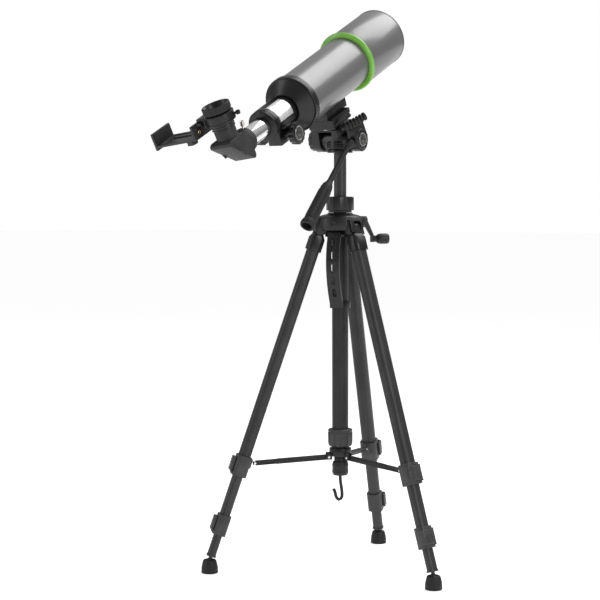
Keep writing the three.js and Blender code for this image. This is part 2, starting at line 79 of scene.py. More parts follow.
class Wire:
    """A number or vector that runs between two nodes, so that shader sums read as sums."""

    def __init__(self, finish, socket):
        self.finish, self.socket = finish, socket

    def sum(self, operation, a, b):
        return self.finish.node("ShaderNodeMath", {0: a, 1: b}, operation=operation)

    def __add__(self, other):
        return self.sum("ADD", self, other)

    def __radd__(self, other):
        return self.sum("ADD", other, self)

    def __mul__(self, other):
        return self.sum("MULTIPLY", self, other)

    def __rmul__(self, other):
        return self.sum("MULTIPLY", other, self)

    def __pow__(self, other):
        return self.sum("POWER", self, other)

    def __gt__(self, other):
        return self.sum("GREATER_THAN", self, other)

    def __lt__(self, other):
        return self.sum("LESS_THAN", self, other)


class Finish:
    """One surface finish. Steady values sit on the shader, and node() adds whatever varies."""

    def __init__(self, name, place=None, **steady):
        self.material = bpy.data.materials.new(name)
        self.material.use_nodes = True
        self.tree = self.material.node_tree
        self.shader = self.tree.nodes["Principled BSDF"]
        self.shader.inputs["Specular IOR Level"].default_value = 0.36
        for socket, value in steady.items():
            self.shader.inputs[socket.replace("_", " ")].default_value = value
        self.material.diffuse_color = tuple(self.shader.inputs["Base Color"].default_value)
        self.where = self.node("ShaderNodeTexCoord", output="Object")
        if place is not None:
            back = place.inverted()
            self.where = self.node("ShaderNodeMapping", {
                "Vector": self.where, "Location": back.to_translation(), "Rotation": back.to_euler(),
            })

    def node(self, kind, inputs={}, output=0, **settings):
        node = self.tree.nodes.new(kind)
        for name, value in settings.items():
            setattr(node, name, value)
        for name, value in inputs.items():
            if isinstance(value, Wire):
                self.tree.links.new(value.socket, node.inputs[name])
            else:
                node.inputs[name].default_value = value
        return Wire(self, node.outputs[output])

    def stretched(self, x, y, z):
        return self.node("ShaderNodeVectorMath", {0: self.where, 1: (x, y, z)}, operation="MULTIPLY")

    def noise(self, scale, detail, rough, at=None):
        inputs = {"Vector": at or self.where, "Scale": scale, "Detail": detail, "Roughness": rough}
        return self.node("ShaderNodeTexNoise", inputs)

    def cells(self, scale):
        return self.node("ShaderNodeTexVoronoi", {"Vector": self.where, "Scale": scale})

    def split(self):
        parts = self.node("ShaderNodeSeparateXYZ", {0: self.where}).socket.node.outputs
        return [Wire(self, part) for part in parts]

    def between(self, value, low, high, to_low=0.0, to_high=1.0):
        inputs = {"Value": value, "From Min": low, "From Max": high, "To Min": to_low, "To Max": to_high}
        return self.node("ShaderNodeMapRange", inputs, clamp=True)

    def mix(self, amount, a, b):
        inputs = {0: amount, 6: a, 7: b}
        return self.node("ShaderNodeMix", inputs, output=2, data_type="RGBA", clamp_factor=True)

    def feed(self, **sockets):
        for name, wire in sockets.items():
            self.tree.links.new(wire.socket, self.shader.inputs[name.replace("_", " ")])

    def relief(self, height, depth):
        """Bumps the surface by height, which runs from 0 to 1, times depth mm."""
        bump = self.node("ShaderNodeBump", {"Height": height, "Strength": 1.0, "Distance": depth * MM})
        self.feed(Normal=bump)


def grey(level, warm=0.0):
    return (level * (1 + warm), level, level * (1 - warm), 1)


def anodised(name, place, dark=0.026, light=0.052, rub=None):
    """Drawn aluminium, brushed along the Z axis of place. rub is (from, to) of a sliding mark, in mm."""
    finish = Finish(name, place, Base_Color=grey(light), Metallic=0.6, Roughness=0.46, IOR=1.5)
    brushed = finish.noise(1.0, 4, 0.65, finish.stretched(1500, 1500, 9))
    mottle = finish.noise(26, 4, 0.6)
    z = finish.split()[2]
    shade = finish.between(brushed * 0.7 + mottle * 0.3, 0.36, 0.64)
    color = finish.mix(shade, grey(dark), grey(light))
    scratches = finish.noise(1.0, 2, 0.5, finish.stretched(5200, 5200, 22))
    worn = finish.between(scratches, 0.70, 0.76)
    if rub:
        fade = 6
        worn = worn * finish.between(z, rub[0] * MM, (rub[0] + fade) * MM)
        worn = worn * finish.between(z, (rub[1] - fade) * MM, rub[1] * MM, 1.0, 0.0)
    color = finish.mix(worn * 0.35, color, grey(0.2))
    finish.feed(Base_Color=color, Roughness=finish.between(brushed, 0.3, 0.7, 0.40, 0.54))
    finish.relief(brushed + worn * 0.4, 0.03)
    return finish.material


def moulded(name, level, grain, gloss):
    """Injection-moulded plastic: a fine spark-eroded grain, slight flow marks and dust in the grain."""
    finish = Finish(name, Base_Color=grey(level), Roughness=gloss, IOR=1.5)
    flow = finish.noise(38, 3, 0.55)
    pits = finish.cells(grain)
    fine = finish.noise(grain * 1.7, 2, 0.6)
    color = finish.mix(finish.between(flow, 0.35, 0.65), grey(level * 0.8), grey(level * 1.3))
    dusty = finish.between(fine * flow, 0.34, 0.42)
    color = finish.mix(dusty * 0.22, color, grey(level * 3.2))
    roughness = finish.between(flow * 0.6 + fine * 0.4, 0.3, 0.7, gloss - 0.06, gloss + 0.09)
    finish.feed(Base_Color=color, Roughness=roughness)
    finish.relief(pits * 0.6 + fine * 0.5, 0.018)
    return finish.material


def rubbery(name, level):
    """Soft moulded rubber: matt, finely pebbled, scuffed paler here and there."""
    finish = Finish(name, Base_Color=grey(level), Roughness=0.62, IOR=1.48)
    pebbles = finish.cells(1500)
    scuffs = finish.noise(70, 5, 0.7)
    color = finish.mix(finish.between(scuffs, 0.56, 0.70), grey(level), grey(level * 2.3))
    finish.feed(Base_Color=color, Roughness=finish.between(scuffs, 0.3, 0.7, 0.50, 0.70))
    finish.relief(pebbles, 0.04)
    return finish.material


def polished(name, place, level, warm, roughness, rings=True):
    """Bright metal turned on a lathe about the Z axis of place, with the finest of tool lines."""
    finish = Finish(name, place, Base_Color=grey(level, warm), Metallic=1.0, Roughness=roughness)
    stretch = (60, 60, 5200) if rings else (4200, 4200, 4200)
    lines = finish.noise(1.0, 3, 0.6, finish.stretched(*stretch))
    smears = finish.noise(45, 4, 0.6)
    color = finish.mix(finish.between(smears, 0.35, 0.7), grey(level, warm), grey(level * 0.86, warm))
    roughness_here = finish.between(smears * 0.6 + lines * 0.4, 0.3, 0.7, roughness * 0.6, roughness * 1.7)
    finish.feed(Base_Color=color, Roughness=roughness_here)
    finish.relief(lines, 0.006)
    return finish.material


def only(obj):
    """Leaves obj alone selected and active."""
    if bpy.context.object and bpy.context.object.mode != "OBJECT":
        bpy.ops.object.mode_set(mode="OBJECT")
    bpy.ops.object.select_all(action="DESELECT")
    obj.select_set(True)
    bpy.context.view_layer.objects.active = obj


def rounded(obj, edge, segments=2, angle=32):
    """Breaks every sharp edge by edge mm and shades the curved walls smooth."""
    only(obj)
    if edge:
        bevel = obj.modifiers.new("edges", "BEVEL")
        bevel.width, bevel.segments = edge * MM, segments
        bevel.limit_method, bevel.angle_limit = "ANGLE", math.radians(angle)
        bevel.use_clamp_overlap = True
        bpy.ops.object.modifier_apply(modifier=bevel.name)
    bpy.ops.object.shade_smooth_by_angle(angle=math.radians(angle))


def joined_body(node):
    return next(b for b, nodes in frame["record"]["behaviour"]["bodies"].items() if node in nodes)


def dressed(node, material, edge, segments=2, shape=None):
    """A merged copy of a frame solid with its edges broken, which stands for it."""
    source = frame["nodes"][node]
    obj = bpy.data.objects.new(node + "_finished", source.data.copy())
    bpy.context.scene.collection.objects.link(obj)
    only(obj)
    if obj.data.has_custom_normals:
        bpy.ops.mesh.customdata_custom_splitnormals_clear()
    bpy.ops.object.mode_set(mode="EDIT")
    bpy.ops.mesh.select_all(action="SELECT")
    bpy.ops.mesh.remove_doubles(threshold=0.00001)
    bpy.ops.mesh.dissolve_limited(angle_limit=math.radians(1.5))
    bpy.ops.object.mode_set(mode="OBJECT")
    if shape:
        shape(obj)
    rounded(obj, edge, segments)
    painted(obj, material)
    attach(obj, joined_body(node))
    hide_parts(node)


def painted(obj, material):
    obj.data.materials.clear()
    obj.data.materials.append(material)


def hooded(place):
    """Raises the sleeve's flat top to a sloping hood that closes on the neck."""
    def shape(obj):
        obj.data.transform(place.inverted())
        choose(obj, lambda p, n: n.z > 0.99 and -27 < p.z < -14)
        bpy.ops.mesh.extrude_region_shrink_fatten(TRANSFORM_OT_shrink_fatten={"value": 6.5 * MM})
        bpy.ops.transform.resize(value=(0.72, 0.90, 1), center_override=(0, 0, 0))
        bpy.ops.object.mode_set(mode="OBJECT")
        obj.data.transform(place)
    return shape


def choose(obj, test, kind="faces"):
    """In edit mode, selects the faces (or points) that pass test(place in mm, normal)."""
    only(obj)
    bpy.ops.object.mode_set(mode="EDIT")
    bpy.ops.mesh.select_mode(type={"faces": "FACE", "verts": "VERT"}[kind])
    bpy.ops.mesh.select_all(action="DESELECT")
    mesh = bmesh.from_edit_mesh(obj.data)
    for item in getattr(mesh, kind):
        at = item.calc_center_median() if kind == "faces" else item.co
        item.select_set(bool(test(at / MM, item.normal)))
    mesh.select_flush_mode()
    bmesh.update_edit_mesh(obj.data)


clamp_plastic = moulded("charcoal_clamp_plastic", 0.032, 3000, 0.42)
black_plastic = moulded("black_moulded_plastic", 0.0065, 3000, 0.33)
for leg in legs:
    place = along_leg(leg)
    tube = f"leg_{leg}_"
    dressed(tube + "upper_tube", anodised(f"anodised_upper_{leg}", place), 0)
    dressed(tube + "mid_tube", anodised(f"anodised_mid_{leg}", place, 0.030, 0.058, (-502, -434)), 0)
    dressed(tube + "low_tube", anodised(f"anodised_low_{leg}", place, 0.030, 0.058, (-572, -537)), 0)
    dressed(tube + "top", black_plastic, 1.2, 3, shape=hooded(place))
    for n in (1, 2):
        dressed(f"{tube}clamp_{n}", clamp_plastic, 0.9, 3)
        dressed(f"{tube}lever_{n}", clamp_plastic, 0.8, 3)


# Clamp trim: a blacked steel pin with a head at each end runs down the hinge of every flip lever. Five
# moulded ridges across the lever's outer face give the thumb a hold.
def block(name, low, high):
    """A cuboid between two corners, in mm of the frame it will be placed in."""
    bpy.ops.object.select_all(action="DESELECT")
    low, high = Vector(low) * MM, Vector(high) * MM
    bpy.ops.mesh.primitive_cube_add(size=1, location=(low + high) / 2, scale=high - low)
    bpy.context.object.name = name
    bpy.ops.object.transform_apply()
    return bpy.context.object


def disc(name, radius, low, high, sides=48):
    """A cylinder about Z between two heights, in mm."""
    bpy.ops.object.select_all(action="DESELECT")
    bpy.ops.mesh.primitive_cylinder_add(
        vertices=sides, radius=radius * MM, depth=(high - low) * MM, location=(0, 0, (low + high) / 2 * MM))
    bpy.context.object.name = name
    bpy.ops.object.transform_apply()
    return bpy.context.object


def push(obj, test, inset, depth):
    """Insets the chosen faces and pushes them out (or in, when depth is negative) along their normals."""
    choose(obj, test)
    if inset:
        bpy.ops.mesh.inset(thickness=inset * MM, depth=0)
    bpy.ops.mesh.extrude_region_shrink_fatten(TRANSFORM_OT_shrink_fatten={"value": depth * MM})
    bpy.ops.object.mode_set(mode="OBJECT")


def faced_out():
    """Leaves edit mode with every face pointing outwards."""
    bpy.ops.mesh.select_all(action="SELECT")
    bpy.ops.mesh.normals_make_consistent(inside=False)
    bpy.ops.object.mode_set(mode="OBJECT")


def lathed(name, profile, steps=64):
    """One point drawn along a profile of (radius, height) in mm, then spun about Z."""
    bpy.ops.object.select_all(action="DESELECT")
    bpy.ops.mesh.primitive_plane_add(size=0.001)
    obj = bpy.context.object
    obj.name = name
    bpy.ops.object.mode_set(mode="EDIT")
    bpy.ops.mesh.select_mode(type="VERT")
    bpy.ops.mesh.select_all(action="SELECT")
    bpy.ops.mesh.merge(type="CENTER")
    last = Vector((0, 0, 0))
    for i, (radius, height) in enumerate(profile):
        here = Vector((radius, 0, height)) * MM
        if i == 0:
            bpy.ops.transform.translate(value=here - last)
        else:
            bpy.ops.mesh.extrude_vertices_move(TRANSFORM_OT_translate={"value": here - last})
        last = here
    bpy.ops.mesh.select_all(action="SELECT")
    bpy.ops.mesh.spin(steps=steps, angle=math.tau, center=(0, 0, 0), axis=(0, 0, 1))
    bpy.ops.mesh.select_all(action="SELECT")
    bpy.ops.mesh.remove_doubles(threshold=0.000002)
    faced_out()
    return obj


def fitted(obj, place, body, material, edge=0.25, segments=2, angle=32):
    """Breaks the edges, puts the piece in its place, applies that to the mesh, and fixes it to a body."""
    rounded(obj, edge, segments, angle)
    only(obj)
    obj.matrix_world = place
    bpy.ops.object.transform_apply()
    painted(obj, material)
    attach(obj, body)


def copied(obj, name):
    twin = obj.copy()
    twin.data = obj.data.copy()
    twin.name = name
    bpy.context.scene.collection.objects.link(twin)
    return twin


def merged(name, parts):
    """Several solids of one material taken together as one piece."""
    bpy.ops.object.select_all(action="DESELECT")
    for part in parts:
        part.select_set(True)
    bpy.context.view_layer.objects.active = parts[0]
    bpy.ops.object.join()
    bpy.context.object.name = name
    return bpy.context.object


plated_pin = polished("plated_pin_steel", None, 0.62, 0.0, 0.22, rings=False)
blacked_pin = polished("blacked_pin_steel", None, 0.07, 0.0, 0.30, rings=False)
CLAMP_HEIGHT, CLAMP_WALL, RIDGE_STEP = 35, 0.3, 4.6
tubes_above = {1: (399.3, 25.8, 29.0, "leg_{}"), 2: (502.3, 22.6, 25.8, "mid_{}")}
for leg in legs:
    place = along_leg(leg)
    for n, (start, depth, width, body) in tubes_above.items():
        bottom = -start - CLAMP_HEIGHT
        x, y = depth / 2 + CLAMP_WALL, width / 2 + CLAMP_WALL
        pin = lathed(f"clamp_pin_{leg}_{n}", [
            (0, bottom + 3.6), (1.5, bottom + 3.6), (1.8, bottom + 4.0), (1.8, bottom + 4.9),
            (1.1, bottom + 5.0),
            (1.1, bottom + 29.0), (1.8, bottom + 29.1), (1.8, bottom + 30.0), (1.5, bottom + 30.4),
            (0, bottom + 30.4)], 20)
        pin.data.transform(moved(x + 2, y - 5, 0))
        fitted(pin, place, body.format(leg), blacked_pin, 0)
        ridges = []
        for k in range(5):
            top = bottom + 8 + k * RIDGE_STEP
            ridges.append(block("ridge", (x + 3.5, -y + 2.5, top), (x + 4.7, y - 7.5, top + 1.5)))
        ridge = merged(f"lever_ridges_{leg}_{n}", ridges)
        fitted(ridge, place, f"lever_{leg}{n}", clamp_plastic, 0.35)

# Feet: moulded rubber domes that snap over the steel ball at the end of each leg, so that they lie flat.
# A groove runs round each foot above its sole, and the sole's edge is rounded.
foot_rubber = rubbery("black_foot_rubber", 0.007)
for leg in legs:
    low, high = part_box(f"leg_{leg}_foot")
    top = high.z / MM
    foot = lathed(f"foot_{leg}", [
        (0, 0), (11.8, 0), (13.2, 0.5), (13.9, 1.8), (14.0, 3.6), (13.5, 4.0), (13.5, 4.8), (13.9, 5.2),
        (13.7, 9.0),
        (13.2, 13.0), (12.3, 16.6), (11.0, top - 1.8), (9.4, top - 0.5), (7.6, top), (6.2, top - 0.3),
        (5.5, top - 1.6), (5.2, top - 3.4), (0, top - 6.6)], 64)
    fitted(foot, Matrix.Translation(((low.x + high.x) / 2, (low.y + high.y) / 2, 0)),
        f"foot_{leg}", foot_rubber,
           0, 2, 50)
    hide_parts(f"leg_{leg}_foot")

# Spreader: three flat struts pinned to lugs on the hub ring, which slides on the centre tube. Each strut
# ends in a pressed eye that is riveted to the inner side of its leg.
STRUT_LENGTH, STRUT_DROP, STRUT_STOP, HUB_PIVOT_OUT, HUB_PIVOT_UP = 128.7, 3.1, 88.7, 19.5, 188
dark_metal = {leg: anodised(f"strut_metal_{leg}", spoke(leg) @ turned(90, "Y"), 0.014, 0.032) for leg in legs}
rivet_steel = polished("rivet_steel", None, 0.70, 0.0, 0.18, rings=False)
for leg in legs:
    dressed(f"strut_{leg}", dark_metal[leg], 0.3)
    strut_place = spoke(leg) @ moved(HUB_PIVOT_OUT, 0, HUB_PIVOT_UP) @ turned(STRUT_DROP, "Y")
    end = block(f"strut_end_{leg}", (STRUT_STOP - 6, -1.4, -4.2), (STRUT_LENGTH - 4, 1.4, 4.2))
    push(end, lambda p, n: n.x > 0.9, 1.2, 4.5)
    push(end, lambda p, n: abs(n.y) > 0.9 and p.x < STRUT_LENGTH - 6, 1.5, -0.35)
    fitted(end, strut_place, f"strut_{leg}", dark_metal[leg], 0.4)
    for name, at, half in (("strut_rivet", STRUT_LENGTH - 3, 2.1), ("hub_rivet", 0, 4.1)):
        rivet = lathed(f"{name}_{leg}", [
            (0, -half - 0.9), (1.5, -half - 0.8), (2.3, -half - 0.2), (2.3, -half), (1.2, -half), (1.2, half),
            (2.3, half), (2.3, half + 0.2), (1.5, half + 0.8), (0, half + 0.9)], 24)
        rivet_place = strut_place @ moved(at, 0, 0) @ turned(90, "X")
        fitted(rivet, rivet_place, f"strut_{leg}", rivet_steel, 0)
dressed("hub_ring", black_plastic, 0.5)
low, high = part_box("hub_lock_knob")
wide, foot_z, top_z = (high.x - low.x) / 2 / MM, low.z / MM, high.z / MM
hub_knob = lathed("hub_knob", [
    (13.0, foot_z + 0.6), (wide - 4.0, foot_z + 0.2), (wide - 1.6, foot_z + 1.6), (wide - 0.6, foot_z + 4.0),
    (wide, foot_z + 9.0), (wide, top_z - 5.5), (wide - 0.8, top_z - 5.0), (wide - 0.8, top_z - 4.0),
    (wide - 0.2, top_z - 3.4), (wide - 0.4, top_z - 1.2), (wide - 1.6, top_z), (13.0, top_z),
    (13.0, foot_z + 0.6)], 96)
push(hub_knob, lambda p, n: n.xy.length > 0.9 and p.xy.length > wide - 2 and foot_z + 2 < p.z < top_z - 5.6
    and (
    math.degrees(math.atan2(p.y, p.x)) % 30 < 7.4), 0, -1.0)
fitted(hub_knob, upright, "hub_knob", clamp_plastic, 0.15)
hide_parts("hub_lock_knob")

# Centre tube, elevator column and end cap: the column carries a toothed rack for the crank in a groove
# down its side, and the cap's ridged skirt holds the weight hook.
vertical = {"centre_tube": anodised("anodised_centre", upright, 0.020, 0.046),
            "column": anodised("anodised_column", upright, 0.026, 0.060, (622, 695))}
for node, metal in vertical.items():
    dressed(node, metal, 0)
cap_plastic = moulded("black_cap_plastic", 0.008, 3600, 0.40)
dressed("end_cap_hook", cap_plastic, 0.25)
cap_bands = merged("cap_bands", [lathed("band", [
    (12.9, z), (13.7, z), (13.9, z + 0.6), (13.7, z + 1.2), (12.9, z + 1.2), (12.9, z)], 64)
    for z in (162, 165, 173)])
fitted(cap_bands, upright, "base", cap_plastic, 0)
CRANK_HEADING, CRANK_UP = 43.6, 581
rack_teeth = [block("rack_bed", (9.2, -2.4, 306), (9.9, 2.4, 690))]
for k in range(126):
    z = 308 + k * 3.0
    rack_teeth.append(block("tooth", (9.7, -2.4, z), (10.42, 2.4, z + 1.5)))
column_rack = merged("column_rack", rack_teeth)
fitted(column_rack, upright @ turned(CRANK_HEADING, "Z"), "column", blacked_pin, 0)

# Carrying handle, shoulder casting and the three leg pins: glossy black glass-filled plastic. A steel pin
# with a domed head on each side holds every leg in its fork, and a cap screw closes the handle's band.
dressed("carry_handle", black_plastic, 1.1, 3)
dressed("shoulder", black_plastic, 1.0, 3)
half = 16.0
for leg in legs:
    pin = lathed(f"leg_pin_{leg}", [
        (0, -half - 1.2), (2.6, -half - 1.0), (3.7, -half - 0.2), (3.7, -half + 0.6), (2.0, -half + 0.8),
        (2.0, half - 0.8), (3.7, half - 0.6), (3.7, half + 0.2), (2.6, half + 1.0), (0, half + 1.2)], 32)
    fitted(pin, spoke(leg) @ moved(LEG_PIVOT_OUT, 0, LEG_PIVOT_UP) @ turned(90, "X"), "base", cap_plastic,
           0)


def mirrored(obj, axis):
    """Flips a piece to the far side of the plane through the origin across axis, 0 for X and 1 for Y."""
    only(obj)
    obj.scale[axis] = -1
    bpy.ops.object.transform_apply()
    bpy.ops.object.mode_set(mode="EDIT")
    faced_out()


cheeks = []
CHEEK_LIP, CHEEK_SLOPE = 0.01, 9
for leg in legs:
    for side in (-1, 1):
        cheek = block("cheek", (17, 11.6, 561), (43.4, 15.8, 587.5))
        push(cheek, lambda p, n: n.x > 0.9, 0, CHEEK_LIP)
        choose(cheek, lambda p, n: p.x > 43 and p.z > 587, "verts")
        bpy.ops.transform.translate(value=Vector((-CHEEK_SLOPE, 0, 0)) * MM)
        bpy.ops.object.mode_set(mode="OBJECT")
        if side < 0:
            mirrored(cheek, 1)
        cheek.data.transform(turned(leg_headings[leg], "Z"))
        cheeks.append(cheek)
fitted(merged("shoulder_cheeks", cheeks), upright, "base", black_plastic, 1.4, 3)


def swept(name, outline, start, sweep):
    """A closed outline of (radius, height) in mm, filled and spun part of the way round Z."""
    bpy.ops.object.select_all(action="DESELECT")
    bpy.ops.mesh.primitive_circle_add(vertices=len(outline), radius=MM, fill_type="NGON")
    obj = bpy.context.object
    obj.name = name
    for vert, (radius, height) in zip(obj.data.vertices, outline):
        vert.co = Vector((radius, 0, height)) * MM
    bpy.ops.object.mode_set(mode="EDIT")
    bpy.ops.mesh.select_all(action="SELECT")
    steps = max(4, int(sweep / 4))
    bpy.ops.mesh.spin(steps=steps, angle=math.radians(sweep), center=(0, 0, 0), axis=(0, 0, 1))
    faced_out()
    obj.data.transform(turned(start + sweep, "Z"))
    return obj


crown = lathed("shoulder_crown", [
    (20.6, 584.5), (38.4, 584.5), (38.2, 587.0), (35.6, 590.0), (30.0, 592.2), (24.0, 593.6), (20.8, 594.6),
    (20.6, 584.5)], 96)
fitted(crown, upright, "base", black_plastic, 0, 2, 40)
APRON = [(34.6, 567.5), (35.6, 566.8), (37.2, 567.6), (38.0, 570.0), (38.6, 578.0), (38.4, 586.0),
    (36.0, 586.0),
         (35.6, 578.0), (35.0, 571.0)]
sectors = [("front", -114.5, 76), ("left", 125.5, 76), ("near_crank", 5.5, 13), ("past_crank", 68.5, 13)]
for name, start, sweep in sectors:
    apron = swept("shoulder_apron_" + name, APRON, start, sweep)
    fitted(apron, upright, "base", black_plastic, 0, 2, 40)
HANDLE_HEADING, BOSS_UP, BAND_SCREW_OUT, BAND_SCREW_UP = -76.5, 579, 17.2, 443
handle_side = upright @ turned(HANDLE_HEADING, "Z")


def cap_screw(name, radius, head, socket):
    """A round-headed screw standing on Z = 0, with a hexagon socket sunk in its head."""
    screw = disc(name, radius, -0.6, head, 24)
    choose(screw, lambda p, n: n.z > 0.9)
    bpy.ops.mesh.inset(thickness=(radius - socket) * MM, depth=0)
    bpy.ops.mesh.extrude_region_shrink_fatten(TRANSFORM_OT_shrink_fatten={"value": -head * 0.55 * MM})
    bpy.ops.object.mode_set(mode="OBJECT")
    return screw


boss_ring = lathed("front_boss_ring", [(0, 38.0), (2.2, 38.0), (2.2, 38.9), (2.7, 39.1), (4.2, 39.1),
    (4.6, 38.8),
                                       (4.6, 37.8), (0, 37.6)], 48)
fitted(boss_ring, handle_side @ moved(0, 0, BOSS_UP) @ turned(90, "Y"), "base", black_plastic,
       0)
band_screw = cap_screw("band_screw", 2.4, 1.4, 1.2)
band_screw_place = handle_side @ turned(180, "Z") @ moved(BAND_SCREW_OUT, 0, BAND_SCREW_UP) @ turned(90, "Y")
fitted(band_screw, band_screw_place, "base", plated_pin, 0.15)

# Collar lock and crank: the collar squeezes the column when it is screwed down. The crank's knurled boss
# has a dished cap with a screw, and its grip is ridged.
dressed("collar_lock", black_plastic, 0.8, 3)
dressed("crank", black_plastic, 0.6)
dressed("crank_grip", black_plastic, 0.5)
collar_crown = lathed("collar_crown", [
    (12.0, 621.6), (21.0, 621.6), (20.6, 622.4), (18.6, 622.9), (17.8, 622.3), (14.6, 622.3), (13.8, 623.1),
    (12.6, 623.1), (12.0, 622.6), (12.0, 621.6)], 96)
fitted(collar_crown, upright, "collar", black_plastic, 0)
crank_side = upright @ turned(CRANK_HEADING, "Z") @ moved(0, 0, CRANK_UP)
crank_cap = lathed("crank_cap", [(0, 44.6), (7.0, 44.6), (7.0, 45.4), (6.2, 46.0), (4.6, 46.0), (4.2, 45.5),
                                 (0, 45.5)], 48)
fitted(crank_cap, crank_side @ turned(90, "Y"), "crank", cap_plastic, 0)
fitted(cap_screw("crank_screw", 2.4, 1.2, 1.1), crank_side @ moved(45.3, 0, 0) @ turned(90, "Y"), "crank",
       plated_pin, 0.12)
grip_bands = merged("crank_grip_bands", [lathed("band", [
    (8.2, x), (8.9, x + 0.2), (8.9, x + 1.2), (8.2, x + 1.4), (8.2, x)], 48) for x in (69, 72, 75, 78)])
fitted(grip_bands, crank_side @ moved(0, 0, -28.5) @ turned(90, "Y"), "crank_grip", black_plastic,
       0)

# Pan head: a turntable under a fork of two thick cheeks that tilts on a barrel, moulded in black. Each
# cheek has a sunk round face with a plain metal disc and a ridge that follows its rim.
TILT_ANGLE = 25
joints = {j["name"]: j for j in frame["joints"]}
tilting = Matrix.Translation(joints["tilt_swing"]["pos_m"]) @ turned(TILT_ANGLE, "X")
head_plastic = moulded("black_head_plastic", 0.006, 2600, 0.30)
dressed("pan_base", head_plastic, 0.5)
dressed("tilt_body", head_plastic, 1.1, 3)
dressed("tilt_knob", head_plastic, 0.9, 3)


def spun_plate(name, place, level=0.16):
    """A thin disc of aluminium, turned so that light runs round it, with a fine lacquer over it."""
    finish = Finish(name, place, Base_Color=grey(level), Metallic=0.85, Roughness=0.34, Coat_Weight=0.3)
    x, y, _ = finish.split()
    radius = (x * x + y * y) ** 0.5
    rings = finish.node("ShaderNodeMath", {0: radius * 9000.0}, operation="SINE")
    stains = finish.noise(180, 3, 0.6)
    color = finish.mix(finish.between(rings, -1, 1), grey(level * 0.85, 0.02), grey(level * 1.2, 0.02))
    color = finish.mix(finish.between(stains, 0.5, 0.8) * 0.5, color, grey(level * 0.55))
    finish.feed(Base_Color=color, Roughness=finish.between(stains, 0.3, 0.7, 0.28, 0.42))
    finish.relief(rings, 0.004)
    return finish.material


def badge(name, radius, place, body):
    """A raised bezel with a plain disc set in it, on the face at Z = 0 of place."""
    bezel = lathed(name + "_bezel", [
        (radius - 2.2, -0.4), (radius, -0.4), (radius, 0.7), (radius - 0.5, 1.15), (radius - 1.3, 1.15),
        (radius - 1.8, 0.6), (radius - 2.2, 0.6), (radius - 2.2, -0.4)], 64)
    fitted(bezel, place, body, spun_plate(name + "_bezel_metal", place, 0.20), 0)
    plate = lathed(name + "_disc", [
        (0, -0.3), (radius - 2.2, -0.3), (radius - 2.2, 0.45), (radius - 2.6, 0.55), (radius - 5.0, 0.55),
        (radius - 5.4, 0.3), (radius - 6.6, 0.3), (radius - 7.0, 0.55), (0, 0.62)], 64)
    fitted(plate, place, body, spun_plate(name + "_disc_metal", place, 0.085), 0)


badge("cheek_badge", 11.3, tilting @ moved(42.0, 2.7, -2.0) @ turned(90, "Y"), "tilt")
badge("tilt_knob_badge", 10.0, tilting @ moved(-52.0, 0, 0) @ turned(-90, "Y"), "tilt_knob")
cheek_rim = lathed("cheek_rim", [
    (15.6, 41.6), (17.4, 41.6), (17.4, 42.5), (17.0, 42.9), (16.0, 42.9), (15.6, 42.5), (15.6, 41.6)], 72)
fitted(cheek_rim, tilting @ turned(90, "Y"), "tilt", head_plastic, 0)
cheek_lines = []
for angle in (28, 90, 152, 205, 335):
    rib = block("cheek_rib", (17.2, -1.0, 41.7), (19.4, 1.0, 42.8))
    rib.data.transform(turned(angle, "Z"))
    cheek_lines.append(rib)
fitted(merged("cheek_ribs", cheek_lines), tilting @ turned(90, "Y"),
    "tilt", head_plastic, 0.2)
table_bands = merged("turntable_bands", [lathed("band", [
    (20.8, z), (21.7, z), (21.9, z + 0.5), (21.7, z + 1.0), (20.8, z + 1.0), (20.8, z)], 72)
    for z in (703, 706.5, 710)])
fitted(table_bands, upright, "pan", head_plastic, 0)

# Side-tilt grip: a short steel bar that is pushed into a deeply ribbed rubber sleeve with a round end.
# Screwing it in locks the platform's sideways tilt.
GRIP_START, GRIP_RUN = (25.6, -37.1, 30.6), (30, 40.8, 8.4)
grip_start = tilting @ moved(*GRIP_START)
grip_heading = (tilting.to_3x3() @ Vector(GRIP_RUN)).to_track_quat("Z", "Y").to_matrix().to_4x4()
grip_place = Matrix.Translation(grip_start.to_translation()) @ grip_heading
grip_rubber = rubbery("ribbed_grip_rubber", 0.008)
side_profile = [(0, 4.8), (3.0, 4.8), (3.6, 5.4), (3.6, 10.0), (5.4, 10.6), (5.4, 12.4)]
for k in range(6):
    y = 12.4 + k * 5.9
    side_profile += [(6.5, y + 0.3), (7.1, y + 1.1), (7.1, y + 2.8), (6.5, y + 3.6), (4.6, y + 4.1),
                     (4.6, y + 5.4)]
side_profile += [(6.4, 48.0), (7.0, 48.8), (7.0, 51.2), (6.2, 52.4), (4.2, 52.9), (0, 53.0)]
side_grip = lathed("side_grip_sleeve", side_profile, 56)
fitted(side_grip, grip_place, "side_grip", grip_rubber, 0)
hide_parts("side_tilt_grip")

# Pan handle: a blacked rod with a long fluted rubber grip that flares to an open end. It is screwed into
# the tilt body, and twisting it locks the tilt.
HANDLE_DROP = 21
handle_place = tilting @ moved(35, -22.6, 6.9) @ turned(HANDLE_DROP, "X") @ turned(90, "X")
handle = lathed("pan_handle_grip", [
    (0, 0.4), (6.0, 0.4), (6.6, 1.0), (6.6, 11.2), (5.8, 12.6), (4.6, 14.0), (4.6, 62.0), (4.8, 92.0),
    (6.2, 97.6),
    (8.6, 103.0), (9.6, 108.0), (9.9, 114.0), (10.1, 148.0), (10.2, 174.0), (10.5, 177.0), (9.9, 178.4),
    (10.1, 180.4), (11.6, 183.0), (12.2, 185.6), (12.2, 189.8), (11.5, 191.8), (10.2, 192.4), (8.4, 192.0),
    (8.0, 190.4), (7.8, 181.4), (7.2, 180.6), (0, 180.6)], 72)


def in_flute(p, n):
    angle = math.degrees(math.atan2(p.y, p.x)) % 60
    return 114 < p.z < 174 and 18 < angle < 42 and n.xy.length > 0.9


